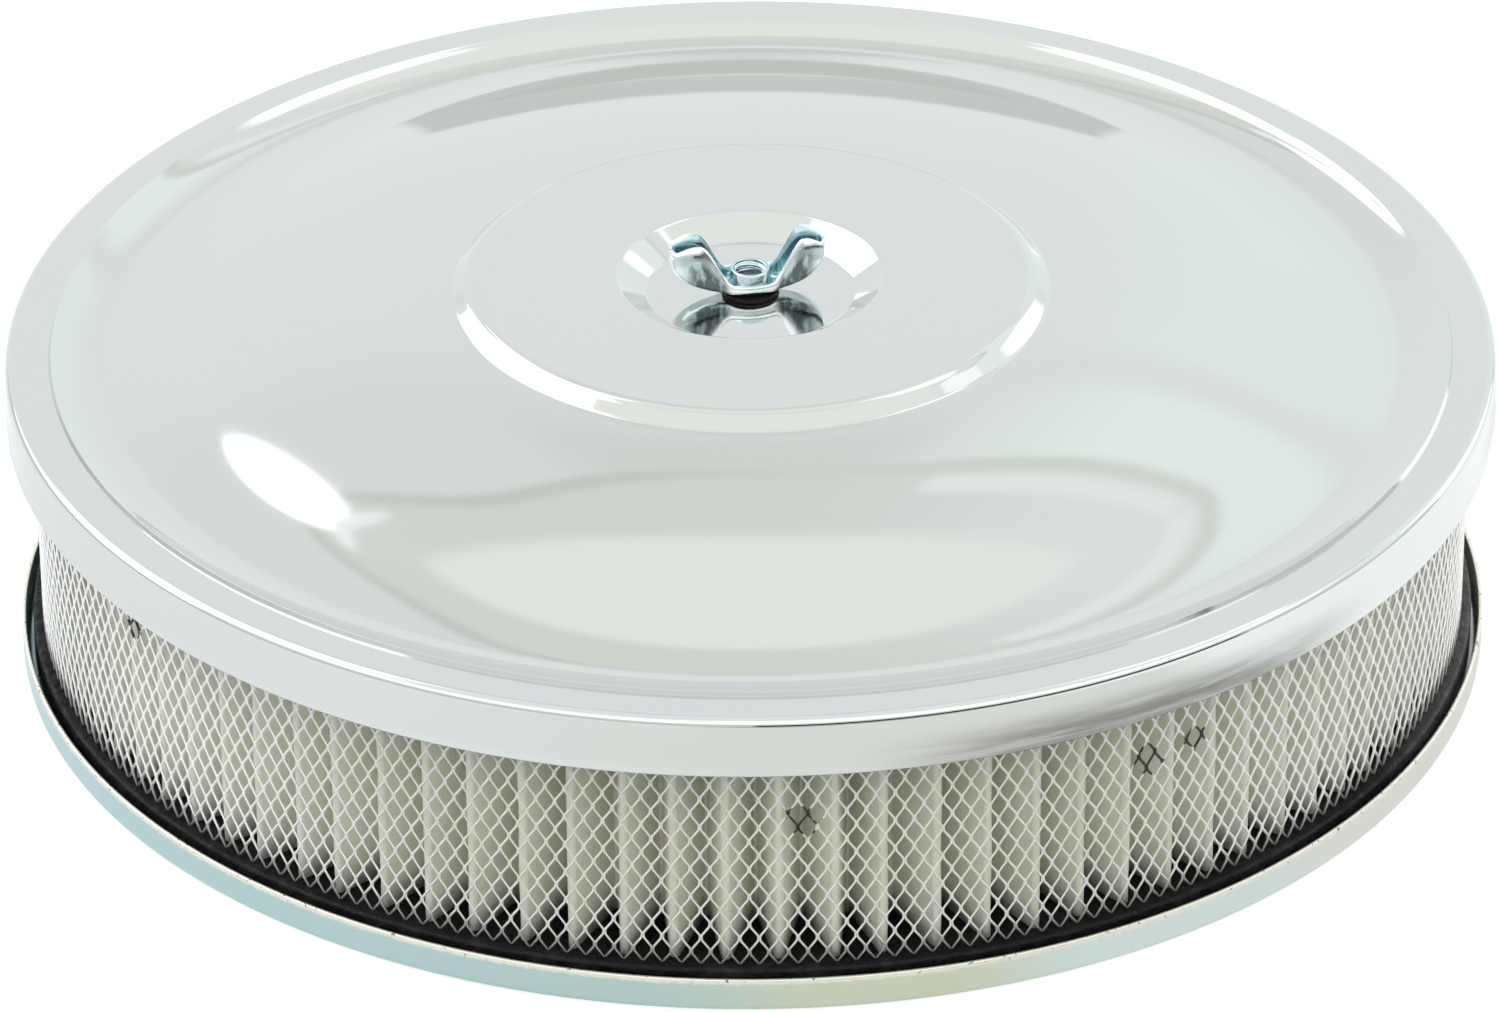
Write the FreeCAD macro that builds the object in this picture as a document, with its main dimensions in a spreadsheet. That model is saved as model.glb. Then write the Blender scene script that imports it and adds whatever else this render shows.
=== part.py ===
"""Round open-element air filter housing for a carburettor: chromed cover, plated base pan, pleated
filter element between them, and a centre stud with a wing nut that clamps the stack.

Millimetres. The origin is the centre of the base pan's underside and +Z is up, along the stud.
"""

import FreeCAD, Part
import math
import os
import Sketcher

Vector = FreeCAD.Vector

doc = FreeCAD.newDocument("air_filter_housing")
sheet = doc.addObject("Spreadsheet::Sheet", "Dimensions")

# alias, value, what it measures
DIMENSIONS = (
    ("cover_radius", 180.0, "outside of the cover's skirt"),
    ("cover_top", 78.6, "height of the cover's flat rim above the base's underside"),
    ("cover_sheet", 0.8, "cover sheet thickness"),
    ("skirt_drop", 14.7, "flat rim down to the skirt's lower edge"),
    ("skirt_corner", 2.0, "outside bend between the flat rim and the skirt"),
    ("hem_height", 1.6, "folded edge along the bottom of the skirt"),
    ("hem_proud", 0.25, "how far the folded edge stands out of the skirt"),
    ("step_radius", 169.5, "foot of the small step inside the flat rim"),
    ("step_width", 0.8, "radial width of the step"),
    ("step_rise", 0.9, "height of the step"),
    ("lip_bend", 40.2, "bend from the step down to the groove"),
    ("groove_outer_radius", 158.15, "outer edge of the groove, the dish's lowest ring"),
    ("groove_outer_rise", -2.156, "height there, from the flat rim"),
    ("groove_inner_radius", 155.96, "inner edge of the groove"),
    ("groove_inner_rise", -2.172, "height there, from the flat rim"),
    ("groove_bend", 8.0, "bend along the bottom of the groove"),
    ("sweep_bend", 138.0, "bend from the groove up into the dome"),
    ("dome_radius", 135.0, "outer edge of the dome, where the slope is steepest"),
    ("dome_rise", 2.26, "height there, from the flat rim"),
    ("dome_bend", 279.0, "bend of the dome"),
    ("platform_foot_radius", 72.0, "where the dome meets the platform's wall"),
    ("platform_foot_rise", 13.17, "height there, from the flat rim"),
    ("platform_radius", 66.2, "edge of the flat centre platform"),
    ("platform_rise", 16.4, "height of the platform, from the flat rim"),
    ("platform_bend", 5.0, "bend round the platform's edge"),
    ("well_radius", 32.3, "edge of the wing nut's well in the platform"),
    ("well_floor_radius", 25.1, "flat floor of the well"),
    ("well_depth", 4.7, "platform down to the well's floor"),
    ("stud_hole_radius", 4.6, "hole for the stud in the well's floor"),
    ("base_radius", 179.0, "outside of the base pan's rim"),
    ("base_sheet", 1.0, "base pan sheet thickness"),
    ("base_rim_height", 8.7, "underside to the top of the rim"),
    ("base_corner", 2.0, "outside bend between the rim and the seat"),
    ("seat_inner_radius", 149.4, "inner edge of the element's flat seat"),
    ("locator_radius", 145.4, "top of the ramp that locates the element"),
    ("locator_rise", 5.0, "height of that ramp"),
    ("bead_outer_radius", 128.0, "outer foot of the stiffening bead"),
    ("bead_inner_radius", 116.0, "inner foot of the stiffening bead"),
    ("bead_rise", 2.2, "height of the stiffening bead"),
    ("bead_flank", 3.0, "radial width of each flank of the bead"),
    ("pan_inner_radius", 100.0, "where the pan falls to the gasket seat"),
    ("pan_rise", 8.6, "height of the pan there, underside"),
    ("gasket_seat_radius", 90.0, "outer edge of the gasket seat"),
    ("gasket_seat_rise", 2.5, "underside of the gasket seat"),
    ("neck_radius", 65.1, "inside of the neck that fits a carburettor's air horn"),
    ("neck_top", 14.5, "top of the neck"),
    ("gasket_inner_radius", 65.8, "inside of the gasket under the neck"),
    ("gasket_outer_radius", 76.0, "outside of that gasket"),
    ("element_outer_radius", 176.5, "outside of the moulded end rings"),
    ("element_inner_radius", 150.0, "inside of the moulded end rings"),
    ("element_top", 75.5, "top of the element when it is clamped"),
    ("end_ring_height", 8.8, "height of the lower moulded ring"),
    ("top_ring_height", 7.5, "height of the upper moulded ring"),
    ("ring_edge", 1.4, "rounding of the moulded rings' outer edges"),
    ("screen_outer_radius", 173.9, "outside of the outer metal screen"),
    ("screen_thickness", 0.6, "thickness of both metal screens"),
    ("inner_screen_radius", 151.9, "outside of the inner metal screen"),
    ("media_outer_radius", 172.8, "outer folds of the pleated paper"),
    ("media_inner_radius", 152.3, "inner folds of the pleated paper"),
    ("paper", 0.7, "thickness of the pleated paper"),
    ("fold_gap", 0.3, "gap inside each fold"),
    ("clip_sheet", 0.5, "thickness of the seam clip"),
    ("clip_arm", 5.0, "length of each arm of the seam clip"),
    ("clip_room", 2.0, "how much shallower the pleat at the seam is"),
    ("stud_radius", 3.97, "outside of the 5/16 inch stud"),
    ("stud_bottom", 16.0, "lower end of the stud"),
    ("stud_top", 94.6, "upper end of the stud, inside the wing nut"),
    ("stud_chamfer", 0.7, "chamfer on both ends of the stud"),
    ("stud_relief_bottom", 28.0, "groove between the carburettor's thread and the lock nut's"),
    ("stud_relief_height", 1.2, "height of that groove"),
    ("stud_shank_radius", 3.55, "plain middle of the stud, and the bottom of its groove"),
    ("stud_shank_bottom", 41.0, "lower end of the plain middle"),
    ("stud_shank_top", 69.0, "upper end of the plain middle"),
    ("lock_nut_bottom", 29.6, "underside of the hexagon lock nut"),
    ("lock_nut_height", 4.8, "height of the lock nut"),
    ("lock_nut_corner", 7.33, "corner radius of the 12.7 mm hexagon"),
    ("nut_bore_radius", 4.02, "bore of both nuts round the stud"),
    ("washer_height", 1.0, "thickness of the rubber washer under the wing nut"),
    ("washer_radius", 7.0, "outside of the rubber washer"),
    ("washer_bore_radius", 4.3, "inside of the rubber washer"),
    ("wing_span", 37.9, "wing nut, tip to tip"),
    ("wing_top", 13.9, "wing nut's height to the wing tips"),
    ("wing_half_width", 3.9, "half the width of each wing"),
    ("wing_bend", 12.2, "bend from the nut's floor up into each wing"),
    ("wing_sheet", 1.0, "wing nut sheet thickness"),
    ("wing_foot", 5.6, "where each wing starts to rise from the low wall"),
    ("wing_shoulder", 12.0, "where each wing reaches its full height"),
    ("nut_wall_height", 3.4, "low wall round the middle of the wing nut"),
    ("nut_wall_radius", 6.8, "outside of that wall"),
    ("collar_radius", 4.8, "outside of the threaded collar"),
    ("collar_height", 5.5, "height of the threaded collar"),
)
PLEATS = 90
SEAM_PLEAT = 31
NUT_TURN_DEG = 9.0
CONTACT_GAP = 0.03

for row, (alias, value, note) in enumerate(DIMENSIONS, 1):
    sheet.set(f"A{row}", note)
    sheet.set(f"B{row}", str(value))
    sheet.setAlias(f"B{row}", alias)
doc.recompute()


class Size:
    """A number together with the spreadsheet expression that gives it."""

    def __init__(self, value, text):
        self.value = value
        self.text = text

    def joined(self, other, sign, value):
        return Size(value, f"({self.text} {sign} {as_size(other).text})")

    def __add__(self, other):
        return self.joined(other, "+", self.value + as_size(other).value)

    def __sub__(self, other):
        return self.joined(other, "-", self.value - as_size(other).value)

    def __mul__(self, other):
        return self.joined(other, "*", self.value * as_size(other).value)


def as_size(thing):
    return thing if isinstance(thing, Size) else Size(float(thing), repr(float(thing)))


class Dimensions:
    """Gives each spreadsheet alias as a Size, such as dim.cover_radius."""

    def __getattr__(self, alias):
        return Size(float(sheet.get(alias)), f"Dimensions.{alias}")


dim = Dimensions()
ZERO = Size(0.0, "0")


def bind(thing, **sizes):
    """Binds properties of a document object to spreadsheet expressions."""
    for name, size in sizes.items():
        thing.setExpression(name, as_size(size).text)


def bind_height(thing, height):
    """Lifts a Part primitive to a height from the spreadsheet."""
    thing.setExpression("Placement.Base.z", as_size(height).text)


def origin_plane(body, role):
    return next(f for f in body.Origin.OriginFeatures if f.Role == role)


def arc_between(start, end, radius, turn):
    """Arc from start to end; turn is 1 anticlockwise and -1 clockwise. Returns it and its first point's index."""
    chord = end - start
    middle = (start + end) * 0.5
    away = math.sqrt(max(radius * radius - chord.Length**2 / 4, 0.0))
    side = Vector(-chord.y, chord.x, 0).normalize()
    centre = middle + side * (away * turn)
    first, last = (start, end) if turn > 0 else (end, start)
    angles = [math.atan2(p.y - centre.y, p.x - centre.x) for p in (first, last)]
    circle = Part.Circle(centre, Vector(0, 0, 1), radius)
    return Part.ArcOfCircle(circle, *angles), (1 if turn > 0 else 2)


def add_outline(body, name, plane, corners):
    """A closed sketch. Each corner is (x, y) for a straight line to it, or (x, y, radius, turn) for an arc to it."""
    sketch = body.newObject("Sketcher::SketchObject", name)
    sketch.AttachmentSupport = (origin_plane(body, plane), [""])
    sketch.MapMode = "FlatFace"
    points = [Vector(as_size(c[0]).value, as_size(c[1]).value, 0) for c in corners]
    geometry, first_index = [], []
    for k, corner in enumerate(corners):
        start, end = points[k - 1], points[k]
        if len(corner) == 2:
            geometry.append(Part.LineSegment(start, end))
            first_index.append(1)
        else:
            arc, first = arc_between(start, end, as_size(corner[2]).value, corner[3])
            geometry.append(arc)
            first_index.append(first)
    sketch.addGeometry(geometry, False)
    for k, corner in enumerate(corners):
        after = (k + 1) % len(corners)
        end_index = 3 - first_index[k]
        sketch.addConstraint(
            Sketcher.Constraint("Coincident", k, end_index, after, first_index[after])
        )
    for k, corner in enumerate(corners):
        end_index = 3 - first_index[k]
        for kind, axis, size in (("DistanceX", -2, corner[0]), ("DistanceY", -1, corner[1])):
            size = as_size(size)
            if size.text == "0":
                sketch.addConstraint(Sketcher.Constraint("PointOnObject", k, end_index, axis))
                continue
            index = sketch.addConstraint(
                Sketcher.Constraint(kind, -1, 1, k, end_index, size.value)
            )
            sketch.setExpression(f"Constraints[{index}]", size.text)
        if len(corner) == 4:
            radius = as_size(corner[2])
            index = sketch.addConstraint(Sketcher.Constraint("Radius", k, radius.value))
            sketch.setExpression(f"Constraints[{index}]", radius.text)
    return sketch


def turned_body(name, corners):
    """A PartDesign body made by turning an outline in the XZ plane round the Z axis."""
    body = doc.addObject("PartDesign::Body", name)
    sketch = add_outline(body, f"{name}_outline", "XZ_Plane", corners)
    turn = body.newObject("PartDesign::Revolution", f"{name}_turned")
    turn.Profile = sketch
    turn.ReferenceAxis = (sketch, ["V_Axis"])
    turn.Angle = 360.0
    doc.recompute()
    return body


def ring_edge_names(shape, radius, height):
    """Names of the circular edges of a shape at one radius and height."""
    names = []
    for index, edge in enumerate(shape.Edges, 1):
        curve = edge.Curve
        if isinstance(curve, Part.Circle):
            if abs(curve.Radius - radius) < 0.01 and abs(curve.Center.z - height) < 0.01:
                names.append(f"Edge{index}")
    return names


def round_rings(body, name, radius, rings):
    """Rounds circular edges of a body, given as (radius, height) sizes."""
    base = body.Tip
    edges = []
    for ring_radius, ring_height in rings:
        edges += ring_edge_names(base.Shape, ring_radius.value, ring_height.value)
    fillet = body.newObject("PartDesign::Fillet", name)
    fillet.Base = (base, edges)
    fillet.Radius = as_size(radius).value
    bind(fillet, Radius=radius)
    body.Tip = fillet
    doc.recompute()
    return fillet


def tube(name, outer, inner, bottom, height):
    """A plain ring from two cylinders."""
    outside = doc.addObject("Part::Cylinder", f"{name}_outside")
    bind(outside, Radius=outer, Height=height)
    bind_height(outside, bottom)
    inside = doc.addObject("Part::Cylinder", f"{name}_inside")
    bind(inside, Radius=inner, Height=height)
    bind_height(inside, bottom)
    ring = doc.addObject("Part::Cut", name)
    ring.Base = outside
    ring.Tool = inside
    return ring


# ---- cover ---------------------------------------------------------------------------------------


def cover_surface(drop):
    """The cover's upper surface from the skirt inwards, lowered by drop for the underside."""
    rim = dim.cover_top - drop
    edge = dim.cover_radius - drop
    return [
        (edge, dim.cover_top - dim.skirt_corner),
        (dim.cover_radius - dim.skirt_corner, rim, dim.skirt_corner - drop, 1),
        (dim.step_radius, rim),
        (dim.step_radius - dim.step_width, rim + dim.step_rise),
        (dim.groove_outer_radius, rim + dim.groove_outer_rise, dim.lip_bend, -1),
        (dim.groove_inner_radius, rim + dim.groove_inner_rise, dim.groove_bend, -1),
        (dim.dome_radius, rim + dim.dome_rise, dim.sweep_bend, -1),
        (dim.platform_foot_radius, rim + dim.platform_foot_rise, dim.dome_bend, 1),
        (dim.platform_radius + dim.platform_bend * 0.58, rim + dim.platform_rise - dim.platform_bend * 0.18),
        (dim.platform_radius, rim + dim.platform_rise, dim.platform_bend, 1),
        (dim.well_radius, rim + dim.platform_rise),
        (dim.well_floor_radius, rim + dim.platform_rise - dim.well_depth),
        (dim.stud_hole_radius, rim + dim.platform_rise - dim.well_depth),
    ]


def make_cover():
    hem_bottom = dim.cover_top - dim.skirt_drop
    hem_top = hem_bottom + dim.hem_height
    hem_outer = dim.cover_radius + dim.hem_proud
    hem_inner = dim.cover_radius - dim.cover_sheet - dim.hem_proud
    # The underside runs the other way, from the stud hole out to the skirt, so its arcs turn the other way.
    under = cover_surface(dim.cover_sheet)
    back = []
    for k in range(len(under) - 1, -1, -1):
        point = under[k][:2]
        follows = under[k + 1] if k + 1 < len(under) else ()
        back.append(point + (follows[2], -follows[3]) if len(follows) == 4 else point)
    corners = (
        [(hem_outer, hem_bottom), (hem_outer, hem_top), (dim.cover_radius, hem_top)]
        + cover_surface(ZERO)
        + back
        + [(dim.cover_radius - dim.cover_sheet, hem_top), (hem_inner, hem_top), (hem_inner, hem_bottom)]
    )
    return turned_body("top_cover", corners)


# ---- base ----------------------------------------------------------------------------------------


def pan_surface(lift):
    """The base pan's underside from the seat inwards, raised by lift for the upper side."""
    bead_flank = dim.bead_flank
    return [
        (dim.seat_inner_radius, ZERO + lift),
        (dim.locator_radius, dim.locator_rise + lift),
        (dim.bead_outer_radius, dim.pan_rise * 0.85 + lift),
        (dim.bead_outer_radius - bead_flank, dim.pan_rise * 0.85 + dim.bead_rise + lift),
        (dim.bead_inner_radius + bead_flank, dim.pan_rise * 0.85 + dim.bead_rise + lift),
        (dim.bead_inner_radius, dim.pan_rise * 0.9 + lift),
        (dim.pan_inner_radius, dim.pan_rise + lift),
        (dim.gasket_seat_radius, dim.gasket_seat_rise + lift),
    ]


def make_base():
    sheet_size = dim.base_sheet
    corner = dim.base_corner
    corners = (
        [
            (dim.base_radius, dim.base_rim_height),
            (dim.base_radius, corner),
            (dim.base_radius - corner, ZERO, corner, -1),
        ]
        + pan_surface(ZERO)
        + [
            (dim.neck_radius, dim.gasket_seat_rise),
            (dim.neck_radius, dim.neck_top),
            (dim.neck_radius + sheet_size, dim.neck_top),
            (dim.neck_radius + sheet_size, dim.gasket_seat_rise + sheet_size),
        ]
        + pan_surface(sheet_size)[::-1]
        + [
            (dim.base_radius - corner, sheet_size),
            (dim.base_radius - sheet_size, corner, corner - sheet_size, 1),
            (dim.base_radius - sheet_size, dim.base_rim_height),
        ]
    )
    return turned_body("base_pan", corners)


def make_gasket():
    return tube(
        "neck_gasket", dim.gasket_outer_radius, dim.gasket_inner_radius, ZERO, dim.gasket_seat_rise
    )


# ---- filter element ------------------------------------------------------------------------------


def make_end_ring(name, bottom, height):
    """A moulded ring that seals one end of the element."""
    top = bottom + height
    outer, inner = dim.element_outer_radius, dim.element_inner_radius
    body = turned_body(name, [(outer, bottom), (outer, top), (inner, top), (inner, bottom)])
    round_rings(body, f"{name}_rounded", dim.ring_edge, [(outer, bottom), (outer, top)])
    return body


def make_screen(name, outer):
    """A metal screen: a sleeve as thick as the expanded metal it stands for."""
    bottom = dim.base_sheet + dim.end_ring_height
    height = dim.element_top - dim.top_ring_height - bottom
    return tube(name, outer, outer - dim.screen_thickness, bottom, height)


def on_circle(radius, angle, height):
    return Vector(radius * math.cos(angle), radius * math.sin(angle), height)


def media_wire(peak_radius, valley_radius, peak_width, valley_width, height):
    """One zigzag boundary of the pleated paper, with a flat of the given width at each fold."""
    pitch = 2 * math.pi / PLEATS
    points = []
    for k in range(PLEATS):
        valley = valley_radius + (dim.clip_room.value if k == SEAM_PLEAT else 0.0)
        for radius, centre, width in (
            (peak_radius, k * pitch, peak_width),
            (valley, (k + 0.5) * pitch, valley_width),
        ):
            half = width / 2 / radius
            points.append(on_circle(radius, centre - half, height))
            points.append(on_circle(radius, centre + half, height))
    return Part.makePolygon(points + points[:1])


def make_media():
    paper, gap = dim.paper.value, dim.fold_gap.value
    outer, inner = dim.media_outer_radius.value, dim.media_inner_radius.value
    bottom = (dim.base_sheet + dim.end_ring_height).value
    top = (dim.element_top - dim.top_ring_height).value
    wide = gap + 2 * paper
    outside = media_wire(outer, inner + paper, wide, gap, bottom)
    inside = media_wire(outer - paper, inner, gap, wide, bottom)
    media = doc.addObject("Part::Feature", "pleated_media")
    face = Part.makeFace([outside, inside], "Part::FaceMakerBullseye")
    media.Shape = face.extrude(Vector(0, 0, top - bottom))
    return media


def make_seam_clip():
    """A folded metal strip that grips the two ends of the paper where they meet at an inner fold."""
    paper, gap = dim.paper.value, dim.fold_gap.value
    sheet_size, arm = dim.clip_sheet.value, dim.clip_arm.value
    fold_radius = dim.media_inner_radius.value + dim.clip_room.value
    peak_radius = dim.media_outer_radius.value - paper
    half_pitch = math.pi / PLEATS
    reach = half_pitch - gap / 2 / peak_radius
    fold = Vector((gap + 2 * paper) / 2, 0, 0)
    peak = Vector(peak_radius * math.sin(reach), peak_radius * math.cos(reach) - fold_radius, 0)
    along = (peak - fold).normalize()
    across = Vector(along.y, -along.x, 0)

    def corner(offset):
        """Where the arm's face, offset from the paper, meets the strip across the fold."""
        point = fold + across * offset
        return point - along * ((point.y + offset) / along.y)

    def arm_end(offset):
        return fold + across * offset + along * arm

    near, far = CONTACT_GAP, CONTACT_GAP + sheet_size
    right = [corner(near), arm_end(near), arm_end(far), corner(far)]
    left = [Vector(-p.x, p.y, 0) for p in reversed(right)]
    outline = Part.makePolygon(right + left + right[:1])
    bottom = (dim.base_sheet + dim.end_ring_height).value
    top = (dim.element_top - dim.top_ring_height).value
    clip = doc.addObject("Part::Feature", "media_seam_clip")
    clip.Shape = Part.Face(outline).extrude(Vector(0, 0, top - bottom))
    turn = math.degrees((SEAM_PLEAT + 0.5) * 2 * half_pitch) - 90
    rotation = FreeCAD.Rotation(Vector(0, 0, 1), turn)
    clip.Placement = FreeCAD.Placement(
        rotation.multVec(Vector(0, fold_radius, 0)) + Vector(0, 0, bottom), rotation
    )
    return clip


# ---- stud and nuts -------------------------------------------------------------------------------


def make_stud():
    """The stud: carburettor thread, groove, lock nut thread, plain shank and wing nut thread."""
    radius, shank, chamfer = dim.stud_radius, dim.stud_shank_radius, dim.stud_chamfer
    bottom, top = dim.stud_bottom, dim.stud_top
    relief = dim.stud_relief_bottom
    return turned_body(
        "centre_stud",
        [
            (ZERO, bottom),
            (radius - chamfer, bottom),
            (radius, bottom + chamfer),
            (radius, relief),
            (shank, relief),
            (shank, relief + dim.stud_relief_height),
            (radius, relief + dim.stud_relief_height),
            (radius, dim.stud_shank_bottom),
            (shank, dim.stud_shank_bottom + 0.4),
            (shank, dim.stud_shank_top - 0.4),
            (radius, dim.stud_shank_top),
            (radius, top - chamfer),
            (radius - chamfer, top),
            (ZERO, top),
        ],
    )


def make_lock_nut():
    hexagon = doc.addObject("Part::Prism", "lock_nut_hexagon")
    hexagon.Polygon = 6
    bind(hexagon, Circumradius=dim.lock_nut_corner, Height=dim.lock_nut_height)
    bind_height(hexagon, dim.lock_nut_bottom)
    bore = doc.addObject("Part::Cylinder", "lock_nut_bore")
    bind(bore, Radius=dim.nut_bore_radius, Height=dim.lock_nut_height)
    bind_height(bore, dim.lock_nut_bottom)
    nut = doc.addObject("Part::Cut", "stud_lock_nut")
    nut.Base = hexagon
    nut.Tool = bore
    return nut


def well_floor():
    return dim.cover_top + dim.platform_rise - dim.well_depth


def make_washer():
    return tube(
        "wing_nut_seal", dim.washer_radius, dim.washer_bore_radius, well_floor(), dim.washer_height
    )


def wing_profile(name, inset, top_margin):
    """The wing nut seen from the side, as a slab across Y, with its floor and wing ends moved in by inset."""
    body = doc.addObject("PartDesign::Body", name)
    base = well_floor() + dim.washer_height
    floor = base + inset
    tip = dim.wing_span * 0.5 - inset
    bend = dim.wing_bend - inset
    bend_start = tip - bend
    if top_margin is None:
        low, high = base + dim.nut_wall_height, base + dim.wing_top
        shoulder_drop = 0.9
        right = [
            (tip, high - shoulder_drop * 1.5),
            (tip - 4.0, high),
            (dim.wing_shoulder, high - shoulder_drop),
            (dim.wing_foot + 1.8, low + 1.2),
            (dim.wing_foot, low),
        ]
    else:
        right = [(tip, base + top_margin)]
    left = [(ZERO - x, z) for x, z in reversed(right)]
    corners = (
        [(bend_start, floor), (tip, floor + bend, bend, 1)]
        + right
        + left
        + [(ZERO - tip, floor + bend), (ZERO - bend_start, floor, bend, 1)]
    )
    sketch = add_outline(body, f"{name}_outline", "XZ_Plane", corners)
    pad = body.newObject("PartDesign::Pad", f"{name}_pad")
    pad.Profile = sketch
    pad.Midplane = True
    pad.Length = 30.0
    doc.recompute()
    return body


def wing_plan(name, inset, base, height):
    """The wing nut seen from above: a disc with a straight wing to each side."""
    half = dim.wing_half_width - inset
    end_centre = dim.wing_span * 0.5 - dim.wing_half_width
    disc = doc.addObject("Part::Cylinder", f"{name}_disc")
    bind(disc, Radius=dim.nut_wall_radius - inset, Height=height)
    bind_height(disc, base)
    bar = doc.addObject("Part::Box", f"{name}_bar")
    bind(bar, Length=end_centre * 2, Width=half * 2, Height=height)
    bind_height(bar, base)
    bar.setExpression("Placement.Base.x", (ZERO - end_centre).text)
    bar.setExpression("Placement.Base.y", (ZERO - half).text)
    parts = [disc, bar]
    for side, sign in (("left", -1), ("right", 1)):
        end = doc.addObject("Part::Cylinder", f"{name}_{side}_end")
        bind(end, Radius=half, Height=height)
        bind_height(end, base)
        end.setExpression("Placement.Base.x", (end_centre * sign).text)
        parts.append(end)
    plan = doc.addObject("Part::MultiFuse", name)
    plan.Shapes = parts
    return plan


def make_wing_nut():
    """A stamped wing nut: a boat-shaped shell, high at both wings, with a threaded collar in its floor."""
    base = well_floor() + dim.washer_height
    tall = dim.wing_top + 5.0
    shells = []
    for name, inset, margin in (("nut_outer", ZERO, None), ("nut_inner", dim.wing_sheet, tall)):
        common = doc.addObject("Part::Common", name)
        common.Base = wing_profile(f"{name}_side", inset, margin)
        common.Tool = wing_plan(f"{name}_plan", inset, base, tall)
        shells.append(common)
    hollow = doc.addObject("Part::Cut", "nut_shell")
    hollow.Base, hollow.Tool = shells
    collar = doc.addObject("Part::Cylinder", "nut_collar")
    bind(collar, Radius=dim.collar_radius, Height=dim.collar_height)
    bind_height(collar, base)
    joined = doc.addObject("Part::Fuse", "nut_with_collar")
    joined.Base, joined.Tool = hollow, collar
    bore = doc.addObject("Part::Cylinder", "nut_bore")
    bind(bore, Radius=dim.nut_bore_radius, Height=tall)
    bind_height(bore, base)
    nut = doc.addObject("Part::Cut", "wing_nut")
    nut.Base, nut.Tool = joined, bore
    nut.Placement = FreeCAD.Placement(Vector(), FreeCAD.Rotation(Vector(0, 0, 1), NUT_TURN_DEG))
    return nut


# ---- build, check and write ----------------------------------------------------------------------

lower_ring_bottom = dim.base_sheet
upper_ring_bottom = dim.element_top - dim.top_ring_height

pieces = [
    make_cover(),
    make_base(),
    make_gasket(),
    make_end_ring("element_bottom_seal", lower_ring_bottom, dim.end_ring_height),
    make_end_ring("element_top_seal", upper_ring_bottom, dim.top_ring_height),
    make_screen("outer_screen", dim.screen_outer_radius),
    make_screen("inner_screen", dim.inner_screen_radius),
    make_media(),
    make_seam_clip(),
    make_stud(),
    make_lock_nut(),
    make_washer(),
    make_wing_nut(),
]
for piece in pieces:
    piece.Label = piece.Name
doc.recompute()

for thing in doc.Objects:
    if "Invalid" in thing.State or "Error" in thing.State:
        raise RuntimeError(f"{thing.Name} failed: {thing.State}")

os.makedirs("parts", exist_ok=True)
for piece in pieces:
    shape = piece.Shape
    if shape.isNull() or not shape.isValid() or not shape.Solids:
        raise RuntimeError(f"{piece.Label} has no valid solid")
    shape.exportStep(f"parts/{piece.Label}.step")
    print(f"{piece.Label}: {len(shape.Solids)} solid, {shape.Volume / 1000:.2f} cm3")
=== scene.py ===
import math
import random

import bmesh
import bpy
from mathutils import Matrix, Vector


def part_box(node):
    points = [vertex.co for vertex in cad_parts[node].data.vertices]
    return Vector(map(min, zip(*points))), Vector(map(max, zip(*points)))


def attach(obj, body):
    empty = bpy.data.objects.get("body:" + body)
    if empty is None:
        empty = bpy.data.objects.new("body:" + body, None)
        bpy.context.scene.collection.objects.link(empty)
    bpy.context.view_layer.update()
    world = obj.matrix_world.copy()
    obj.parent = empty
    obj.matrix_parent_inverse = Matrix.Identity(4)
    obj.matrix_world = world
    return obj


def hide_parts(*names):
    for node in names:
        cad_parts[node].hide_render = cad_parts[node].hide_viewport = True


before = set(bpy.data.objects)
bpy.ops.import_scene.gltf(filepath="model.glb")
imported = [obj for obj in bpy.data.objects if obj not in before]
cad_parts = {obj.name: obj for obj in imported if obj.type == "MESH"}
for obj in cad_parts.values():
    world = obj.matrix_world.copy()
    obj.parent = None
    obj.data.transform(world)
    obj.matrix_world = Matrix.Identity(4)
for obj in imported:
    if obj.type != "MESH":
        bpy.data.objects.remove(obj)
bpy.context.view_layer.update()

MM = 0.001
TAU = 2 * math.pi


def mm_box(node):
    """A CAD node's lowest and highest corner in millimetres."""
    low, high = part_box(node)
    return low / MM, high / MM


# ---- shape helpers, all in millimetres -----------------------------------------------------------


def add_piece(name, verts, faces, body, node, material, smooth=True):
    """Makes a mesh piece from millimetre points, puts it on its body and lets it stand for a CAD node."""
    mesh = bpy.data.meshes.new(name)
    mesh.from_pydata([(x * MM, y * MM, z * MM) for x, y, z in verts], [], faces)
    work = bmesh.new()
    work.from_mesh(mesh)
    bmesh.ops.recalc_face_normals(work, faces=work.faces)
    work.to_mesh(mesh)
    work.free()
    mesh.polygons.foreach_set("use_smooth", [smooth] * len(mesh.polygons))
    piece = bpy.data.objects.new(name, mesh)
    bpy.context.scene.collection.objects.link(piece)
    mesh.materials.append(material)
    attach(piece, body)
    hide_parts(node)
    return piece


def recoat(node, material):
    """Gives a CAD node that is kept as it is a material of this script."""
    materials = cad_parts[node].data.materials
    materials.clear()
    materials.append(material)


def arc_points(start, end, radius, turn, count):
    """Points after start up to end on an arc; turn is 1 anticlockwise and -1 clockwise."""
    (x0, y0), (x1, y1) = start, end
    chord = math.dist(start, end)
    away = math.sqrt(max(radius * radius - chord * chord / 4, 0.0)) * turn
    cx = (x0 + x1) / 2 - (y1 - y0) / chord * away
    cy = (y0 + y1) / 2 + (x1 - x0) / chord * away
    a0 = math.atan2(y0 - cy, x0 - cx)
    a1 = math.atan2(y1 - cy, x1 - cx)
    sweep = (a1 - a0) % TAU if turn > 0 else -((a0 - a1) % TAU)
    angles = [a0 + sweep * k / count for k in range(1, count + 1)]
    return [(cx + radius * math.cos(a), cy + radius * math.sin(a)) for a in angles]


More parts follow.
